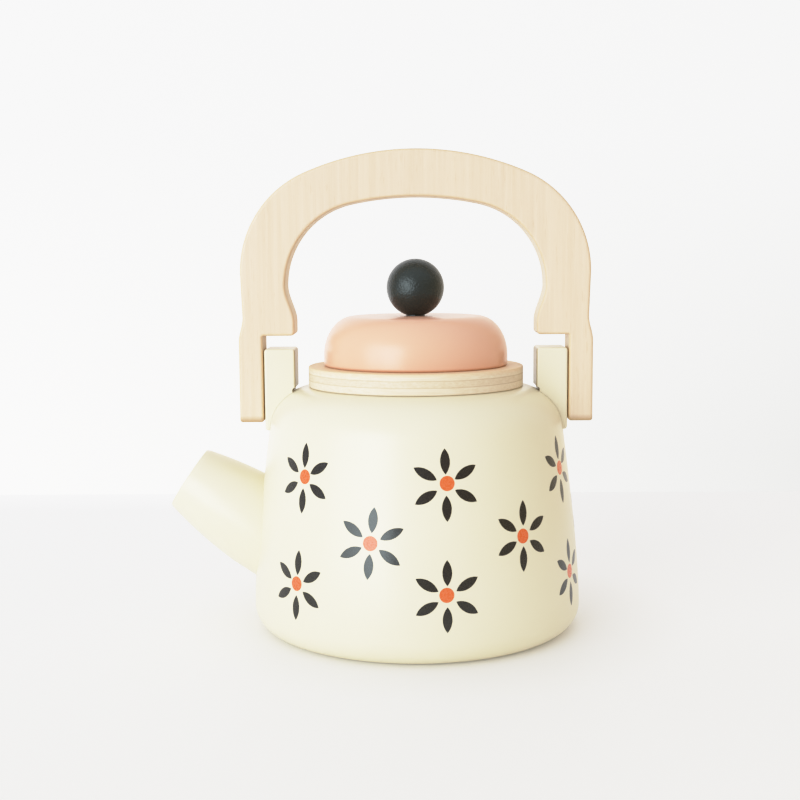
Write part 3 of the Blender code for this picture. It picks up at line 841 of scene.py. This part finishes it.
def add_print(shape, side, azimuth, height, outline):
    """Add one printed patch as a thin closed film that follows the body."""
    middle = sum(outline, Vector((0.0, 0.0))) / len(outline)
    inner = [middle.lerp(point, INK_INNER_SHARE) for point in outline]

    def row(points, lift):
        return [shape.verts.new(side.place(azimuth, height, p.x, p.y, lift)) for p in points]

    rings = [row([middle], -INK_DEPTH), row(outline, -INK_DEPTH), row(outline, INK_PROUD)]
    rings += [row(inner, INK_PROUD), row([middle], INK_PROUD)]
    for first, second in zip(rings, rings[1:]):
        for index in range(len(outline)):
            after = (index + 1) % len(outline)
            corners = [first[index % len(first)], first[after % len(first)]]
            corners += [second[after % len(second)], second[index % len(second)]]
            shape.faces.new(list(dict.fromkeys(corners)))


def make_flowers(petal_ink, dot_ink):
    """Rows of six-petalled flowers printed round the body, leaving room for the spout."""
    side = BodySide()
    petals = bmesh.new()
    dots = bmesh.new()
    dot = arc((0.0, 0.0), DOT_RADIUS, 0.0, 2 * math.pi, DOT_STEPS)[:-1]
    for row in FLOWER_ROWS:
        places = list(row["seen"])
        while len(places) < row["count"]:
            places.append((places[-1][0] + FLOWER_PITCH, row["seen"][0][1]))
        for azimuth, height in places:
            add_print(dots, side, math.radians(azimuth), height, dot)
            for petal in range(PETALS):
                turn = math.radians(row["turn"]) + math.pi / 2 + 2 * math.pi * petal / PETALS
                add_print(petals, side, math.radians(azimuth), height, petal_outline(turn, row["shift"]))
    for name, shape, ink, slot in (
        ("flower_petals", petals, petal_ink, "charcoal_paint"),
        ("flower_dots", dots, dot_ink, "orange_print"),
    ):
        dress(add_object(name, finished_mesh(name, shape)), ink, slot, "kettle")


def add_node(tree, kind, inputs=None, **settings):
    """Add a shader node; an input is a value for its socket or another node's output to link."""
    node = tree.nodes.new(kind)
    for name, value in settings.items():
        setattr(node, name, value)
    for key, value in (inputs or {}).items():
        if isinstance(value, bpy.types.NodeSocket):
            tree.links.new(value, node.inputs[key])
        else:
            node.inputs[key].default_value = value
    return node


def new_material(name):
    """A material with its Principled shader, ready for its patterns."""
    material = bpy.data.materials.new(name)
    material.use_nodes = True
    tree = material.node_tree
    return material, tree, tree.nodes["Principled BSDF"]


def coordinate(tree, output):
    """Object is the point on a piece and Normal the way it looks there, both in the piece's own frame.

    Generated is the direction of a ray that reaches the world.
    """
    return add_node(tree, "ShaderNodeTexCoord").outputs[output]


def axes(tree, vector):
    """The parts of a vector, as outputs X, Y and Z."""
    return add_node(tree, "ShaderNodeSeparateXYZ", {"Vector": vector}).outputs


def noise(tree, scale, detail=2.0, roughness=0.5):
    """Noise with features of 1 / scale metres along each axis, about 0.5 in the mean."""
    stretched = {"Vector": coordinate(tree, "Object"), "Scale": scale}
    place = add_node(tree, "ShaderNodeMapping", stretched).outputs["Vector"]
    inputs = {"Vector": place, "Scale": 1.0, "Detail": detail, "Roughness": roughness}
    return add_node(tree, "ShaderNodeTexNoise", inputs).outputs["Fac"]


def spread(tree, value, low, high, start=0.0, end=1.0):
    """Map a value from low..high to start..end, held at both ends."""
    inputs = {"Value": value, "From Min": low, "From Max": high, "To Min": start, "To Max": end}
    return add_node(tree, "ShaderNodeMapRange", inputs).outputs["Result"]


def pattern(tree, scale, detail=2.0, roughness=0.5, low=NOISE_LOW, high=NOISE_HIGH):
    """Noise that is spread from 0 to 1 between two of its levels."""
    return spread(tree, noise(tree, scale, detail, roughness), low, high)


def between(tree, value, limits):
    """Turn a value from 0 to 1 into one between two limits."""
    return spread(tree, value, 0.0, 1.0, *limits)


def calculate(tree, operation, *values):
    """The result of one Math node."""
    return add_node(tree, "ShaderNodeMath", dict(enumerate(values)), operation=operation).outputs["Value"]


def blend(tree, factor, first, second):
    """Mix two colours, each a value or another node's output."""
    inputs = {MIX_FACTOR: factor, MIX_FIRST: first, MIX_SECOND: second}
    return add_node(tree, "ShaderNodeMix", inputs, data_type="RGBA").outputs[MIX_RESULT]


def layered(tree, colour, *layers):
    """Lay colours over a first one in turn, each where and as strongly as its mask says."""
    for mask, layer in layers:
        colour = blend(tree, mask, colour, layer)
    return colour


def surface(tree, shader, colour, roughness, height, relief):
    """Link a material's colour and roughness, and the height of its pattern for a relief in metres."""
    inputs = {"Height": height, "Distance": relief, "Strength": 1.0}
    bump = add_node(tree, "ShaderNodeBump", inputs).outputs["Normal"]
    for output, socket in ((colour, "Base Color"), (roughness, "Roughness"), (bump, "Normal")):
        tree.links.new(output, shader.inputs[socket])


def evenly(size):
    """The same scale along all three axes, for features of a size in metres."""
    return (1.0 / size, 1.0 / size, 1.0 / size)


def looks_inwards(tree, distance, turn):
    """Mask of the faces, at a distance to the left and right, that look towards the middle."""
    place = axes(tree, coordinate(tree, "Object"))["X"]
    facing = axes(tree, coordinate(tree, "Normal"))["X"]
    outwards = calculate(tree, "MULTIPLY", place, facing)
    return spread(tree, outwards, -turn[0] * distance, -turn[1] * distance)


def band(tree, height, edge, limits, cover):
    """Mask of a band of colour along an edge at a height."""
    return spread(tree, height, edge + limits[0], edge + limits[1], 0.0, cover)


def paint(name, colours, roughness, peel_size=PEEL_SIZE, relief=PEEL_RELIEF):
    """Satin paint on wood: faint mottling, an uneven gloss and a fine orange peel."""
    material, tree, shader = new_material(name)
    mottled = blend(tree, pattern(tree, evenly(CLOUD_SIZE), detail=3.0), *colours)
    peel = noise(tree, evenly(peel_size))
    gloss = spread(tree, peel, NOISE_LOW, NOISE_HIGH, *roughness)
    surface(tree, shader, mottled, gloss, peel, relief)
    return material, tree, shader, mottled


def cream_material(name):
    return paint(name, CREAM, CREAM_ROUGHNESS)


def ear_material():
    """Cream paint with painted shade, dark and dull, on the faces that look at the collar."""
    material, tree, shader, mottled = cream_material("cream_on_ears")
    ear_shade_mask = looks_inwards(tree, EAR_INNER, EAR_TURN)
    tree.links.new(blend(tree, ear_shade_mask, mottled, EAR_PAINTED_SHADE), shader.inputs["Base Color"])
    tree.links.new(between(tree, ear_shade_mask, EAR_SHINE), shader.inputs["Specular IOR Level"])
    return material


def peach_material():
    """Peach paint, with painted shade as a darker line along the lid's bottom edge."""
    material, tree, shader, mottled = paint("peach_satin", PEACH, PEACH_ROUGHNESS)
    height = axes(tree, coordinate(tree, "Object"))["Z"]
    lid_shade_mask = band(tree, height, LID_BOTTOM - SEAT_GAP, LID_SHADE_BAND, LID_SHADE_COVER)
    tree.links.new(blend(tree, lid_shade_mask, mottled, LID_PAINTED_SHADE), shader.inputs["Base Color"])
    shader.inputs["Specular IOR Level"].default_value = PEACH_SHINE
    return material


def charcoal_material():
    """Sprayed charcoal paint with a fine leathery skin."""
    sprayed = paint("charcoal_satin", CHARCOAL, CHARCOAL_ROUGHNESS, LEATHER_SIZE, LEATHER_RELIEF)
    material, shader = sprayed[0], sprayed[2]
    shader.inputs["Specular Tint"].default_value = COOL_SHEEN
    shader.inputs["Specular IOR Level"].default_value = CHARCOAL_SHINE
    return material


def board_material():
    """Pale close-grained board: fine upright grain and small flecks on its faces.

    Its rounded edges are darker, its legs carry painted warm shade beside the ears, and their ends are
    darker along the bottom.
    """
    material, tree, shader = new_material("pale_board")
    fine = pattern(tree, BOARD_FINE_GRAIN, detail=4.0, roughness=0.6)
    broad = pattern(tree, BOARD_BROAD_GRAIN)
    flecks = pattern(tree, BOARD_FLECKS, detail=1.0, low=0.66, high=0.74)
    facing = axes(tree, coordinate(tree, "Normal"))
    front_or_back = calculate(tree, "MULTIPLY", facing["Y"], facing["Y"])
    up_or_down = calculate(tree, "MULTIPLY", facing["Z"], facing["Z"])
    height = axes(tree, coordinate(tree, "Object"))["Z"]
    # Painted warm shade on the legs' faces that look at the ears, below the ears' tops
    below_ear_top = spread(tree, height, EAR_TOP, EAR_TOP - HANDLE_EDGE)
    inner_face = looks_inwards(tree, LEG_INNER, LEG_TURN)
    leg_shade_mask = calculate(tree, "MULTIPLY", inner_face, below_ear_top)
    side = blend(tree, leg_shade_mask, BOARD_SIDE, BOARD_PAINTED_SHADE)
    colour = layered(
        tree,
        blend(tree, fine, *BOARD_WOOD),
        (between(tree, broad, (0.0, TONE_COVER)), BOARD_TONE),
        (between(tree, flecks, (0.0, FLECK_COVER)), BOARD_FLECK),
        (spread(tree, front_or_back, *EDGE_TURN, 0.0, EDGE_COVER), BOARD_EDGE),
        (spread(tree, front_or_back, *SIDE_TURN, 0.0, SIDE_COVER), side),
        (spread(tree, up_or_down, *END_TURN, 0.0, END_COVER), BOARD_END),
        (band(tree, height, PIVOT_HEIGHT - LEG_TAIL, LEG_BOTTOM_BAND, LEG_BOTTOM_COVER), BOARD_LEG_BOTTOM),
    )
    surface(tree, shader, colour, between(tree, fine, BOARD_ROUGHNESS), fine, BOARD_RELIEF)
    return material


def plywood_material():
    """Plies with crossed grain and thin glue lines, stained along the foot and warm at the rim."""
    material, tree, shader = new_material("birch_ply")
    long_grain = pattern(tree, PLY_LONG_GRAIN, detail=3.0, roughness=0.6)
    cross_grain = pattern(tree, PLY_CROSS_GRAIN, detail=3.0, roughness=0.6)
    height = axes(tree, coordinate(tree, "Object"))["Z"]
    waver = between(tree, pattern(tree, evenly(PLY_WAVE_SIZE)), (-PLY_WAVER, PLY_WAVER))
    level = calculate(tree, "ADD", height, waver)
    half_ply = (COLLAR_TOP - COLLAR_BOTTOM) / PLIES / 2
    middle = (COLLAR_TOP + COLLAR_BOTTOM) / 2
    from_middle = calculate(tree, "ABSOLUTE", calculate(tree, "SUBTRACT", level, middle))
    from_glue = calculate(tree, "ABSOLUTE", calculate(tree, "SUBTRACT", from_middle, half_ply))
    core = spread(tree, from_middle, half_ply + PLY_BLUR, half_ply - PLY_BLUR)
    colour = layered(
        tree,
        blend(tree, long_grain, *OUTER_PLY),
        (core, blend(tree, cross_grain, *CORE_PLY)),
        (spread(tree, from_glue, *GLUE_BAND, 0.0, GLUE_COVER), PLY_GLUE),
        (band(tree, level, COLLAR_BOTTOM - SEAT_GAP, STAIN_BAND, STAIN_COVER), PLY_STAIN),
        (band(tree, height, COLLAR_TOP, RIM_BAND, RIM_COVER), PLY_RIM),
    )
    surface(tree, shader, colour, between(tree, long_grain, PLY_ROUGHNESS), long_grain, PLY_RELIEF)
    return material


def dowel_material():
    """Round dowel with its grain and its pores along X."""
    material, tree, shader = new_material("beech_dowel")
    grain = pattern(tree, DOWEL_GRAIN, detail=3.0, roughness=0.6)
    pores = pattern(tree, DOWEL_PORES, detail=1.0, low=0.58, high=0.72)
    wood = blend(tree, grain, *DOWEL_WOOD)
    colour = layered(tree, wood, (between(tree, pores, (0.0, PORE_COVER)), DOWEL_PORE))
    surface(tree, shader, colour, between(tree, grain, DOWEL_ROUGHNESS), grain, DOWEL_RELIEF)
    return material


def turned_wood_material():
    """Bare turned wood inside the pot: upright grain and fine tool rings."""
    material, tree, shader = new_material("bare_turned_wood")
    grain = pattern(tree, TURNED_GRAIN, detail=4.0, roughness=0.6)
    rings = pattern(tree, TURNED_RINGS, detail=1.0, low=0.35, high=0.65)
    wood = blend(tree, grain, *TURNED_WOOD)
    colour = layered(tree, wood, (between(tree, rings, (0.0, RING_COVER)), TURNED_RING))
    surface(tree, shader, colour, between(tree, rings, TURNED_ROUGHNESS), rings, TURNED_RELIEF)
    return material


def ink_material(name, colours):
    """Satin print, a little uneven in density."""
    material, tree, shader = new_material(name)
    density = pattern(tree, evenly(INK_SPECK_SIZE), detail=3.0, roughness=0.6)
    colour = blend(tree, density, *colours)
    surface(tree, shader, colour, between(tree, density, INK_ROUGHNESS), density, INK_RELIEF)
    shader.inputs["Specular Tint"].default_value = COOL_SHEEN
    shader.inputs["Specular IOR Level"].default_value = INK_SHINE
    return material


def table_material():
    """Pale matt table top, a little darker to the right and towards the camera as painted shade, with a
    faint glow.
    """
    material, tree, shader = new_material("pale_table")
    place = coordinate(tree, "Object")
    sides = axes(tree, place)
    colour = layered(
        tree,
        blend(tree, pattern(tree, evenly(TABLE_CLOUD_SIZE)), *TABLE_TOP),
        (spread(tree, sides["X"], *TABLE_RIGHTWARDS), TABLE_PAINTED_SHADE_RIGHT),
        (spread(tree, sides["Y"], *TABLE_NEARER), TABLE_PAINTED_SHADE_FRONT),
    )
    ends = {0: place, 1: SHADE_CENTRE}
    apart = add_node(tree, "ShaderNodeVectorMath", ends, operation="DISTANCE").outputs["Value"]
    glow = spread(tree, apart, SHADE_NEAR, SHADE_FAR, SHADE_GLOW, TABLE_GLOW)
    haze = spread(tree, sides["X"], 0.0, HAZE_SIDE, 0.0, HAZE_GLOW)
    edge = spread(tree, sides["Y"], TABLE_BACK - HAZE_WIDTH, TABLE_BACK)
    tree.links.new(colour, shader.inputs["Base Color"])
    tree.links.new(calculate(tree, "MULTIPLY_ADD", edge, haze, glow), shader.inputs["Emission Strength"])
    shader.inputs["Emission Color"].default_value = GLOW_COLOUR
    shader.inputs["Roughness"].default_value = TABLE_ROUGHNESS
    return material


def make_camera():
    data = bpy.data.cameras.new("camera")
    data.lens = CAMERA_LENS
    data.sensor_width = CAMERA_SENSOR
    data.clip_start = CAMERA_NEAREST
    data.clip_end = CAMERA_FARTHEST
    camera = add_object("camera", data)
    camera.location = CAMERA_PLACE
    camera.rotation_euler = Euler([math.radians(angle) for angle in CAMERA_TILT])
    bpy.context.scene.camera = camera


def make_tone():
    """Hold the bright end of the picture back with a soft shoulder, as a camera does."""
    settings = bpy.context.scene.view_settings
    settings.view_transform = "Standard"
    settings.use_curve_mapping = True
    mapping = settings.curve_mapping
    mapping.white_level = (TONE_RANGE, TONE_RANGE, TONE_RANGE)
    curve = mapping.curves[COMBINED_CURVE]
    room = TONE_TOP - TONE_KNEE
    for step in range(1, TONE_STEPS + 1):
        light = TONE_RANGE * step / TONE_STEPS
        shown = light
        if light > TONE_KNEE:
            shown = TONE_TOP - room * math.exp((TONE_KNEE - light) / room)
        if step < TONE_STEPS:
            curve.points.new(step / TONE_STEPS, shown)
        else:
            curve.points[-1].location = (1.0, shown)
    mapping.update()


def make_world():
    """Room round the table: a white wall behind, dimmer and warmer to the right, and dim in front.

    The camera sees the wall itself a little evener than it lights the kettle.
    """
    world = bpy.data.worlds.new("studio")
    bpy.context.scene.world = world
    world.use_nodes = True
    tree = world.node_tree
    parts = axes(tree, coordinate(tree, "Generated"))
    rightwards = spread(tree, parts["X"], *ROOM_RIGHTWARDS)
    front = blend(tree, rightwards, *ROOM_FRONT)
    back = blend(tree, rightwards, *ROOM_BACK)
    around = blend(tree, spread(tree, parts["Y"], *ROOM_BACKWARDS), front, back)
    room = blend(tree, spread(tree, parts["Z"], *ROOM_UPWARDS), around, ROOM_TOP)
    across = spread(tree, parts["X"], *WALL_RIGHTWARDS)
    foot = blend(tree, across, *WALL_FOOT)
    top = blend(tree, across, *WALL_TOP)
    wall = blend(tree, spread(tree, parts["Z"], *WALL_UPWARDS), foot, top)
    seen = add_node(tree, "ShaderNodeLightPath").outputs["Is Camera Ray"]
    tree.links.new(blend(tree, seen, room, wall), tree.nodes["Background"].inputs["Color"])


def make_window(name, place, width, power):
    """One soft upright light that looks at the kettle."""
    data = bpy.data.lights.new(name, "AREA")
    data.shape = "RECTANGLE"
    data.size = width
    data.size_y = WINDOW_HEIGHT
    data.energy = power
    data.color = WINDOW_COLOUR
    window = add_object(name, data)
    window.location = place
    aim = Vector(WINDOW_AIM) - Vector(place)
    window.rotation_euler = aim.to_track_quat("-Z", "Y").to_euler()


def make_floor():
    """A plain table top: a grid one metre across, stretched to the table's size."""
    shape = bmesh.new()
    bmesh.ops.create_grid(shape, x_segments=TABLE_CELLS, y_segments=TABLE_CELLS, size=0.5)
    size = Vector((TABLE_RIGHT - TABLE_LEFT, TABLE_BACK - TABLE_FRONT, 1.0))
    middle = Vector(((TABLE_RIGHT + TABLE_LEFT) / 2, (TABLE_BACK + TABLE_FRONT) / 2, 0.0))
    bmesh.ops.scale(shape, vec=size, verts=shape.verts)
    bmesh.ops.translate(shape, vec=middle, verts=shape.verts)
    floor = add_object("floor", finished_mesh("floor", shape))
    floor.data.materials.append(table_material())


def main():
    cream = cream_material("cream_satin")[0]
    ply = plywood_material()
    dowel = dowel_material()
    make_pot(cream, turned_wood_material())
    make_collar(ply)
    make_spout(cream)
    make_lid(peach_material())
    make_plug(ply)
    make_knob(charcoal_material())
    make_handle(board_material())
    ear_paint = ear_material()
    for side, sign in (("left", -1.0), ("right", 1.0)):
        make_ear(side, sign, ear_paint)
        make_pin(side, sign, dowel)
    make_flowers(ink_material("charcoal_ink", PETAL_INK), ink_material("orange_ink", DOT_INK))
    for name in ("spout_dowel", "left_ear_dowel", "right_ear_dowel", "knob_dowel"):
        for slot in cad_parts[name].material_slots:
            slot.material = dowel
    make_camera()
    make_tone()
    make_world()
    make_window("curtain", CURTAIN_PLACE, CURTAIN_WIDTH, CURTAIN_POWER)
    make_window("pane", PANE_PLACE, PANE_WIDTH, PANE_POWER)
    make_floor()


main()
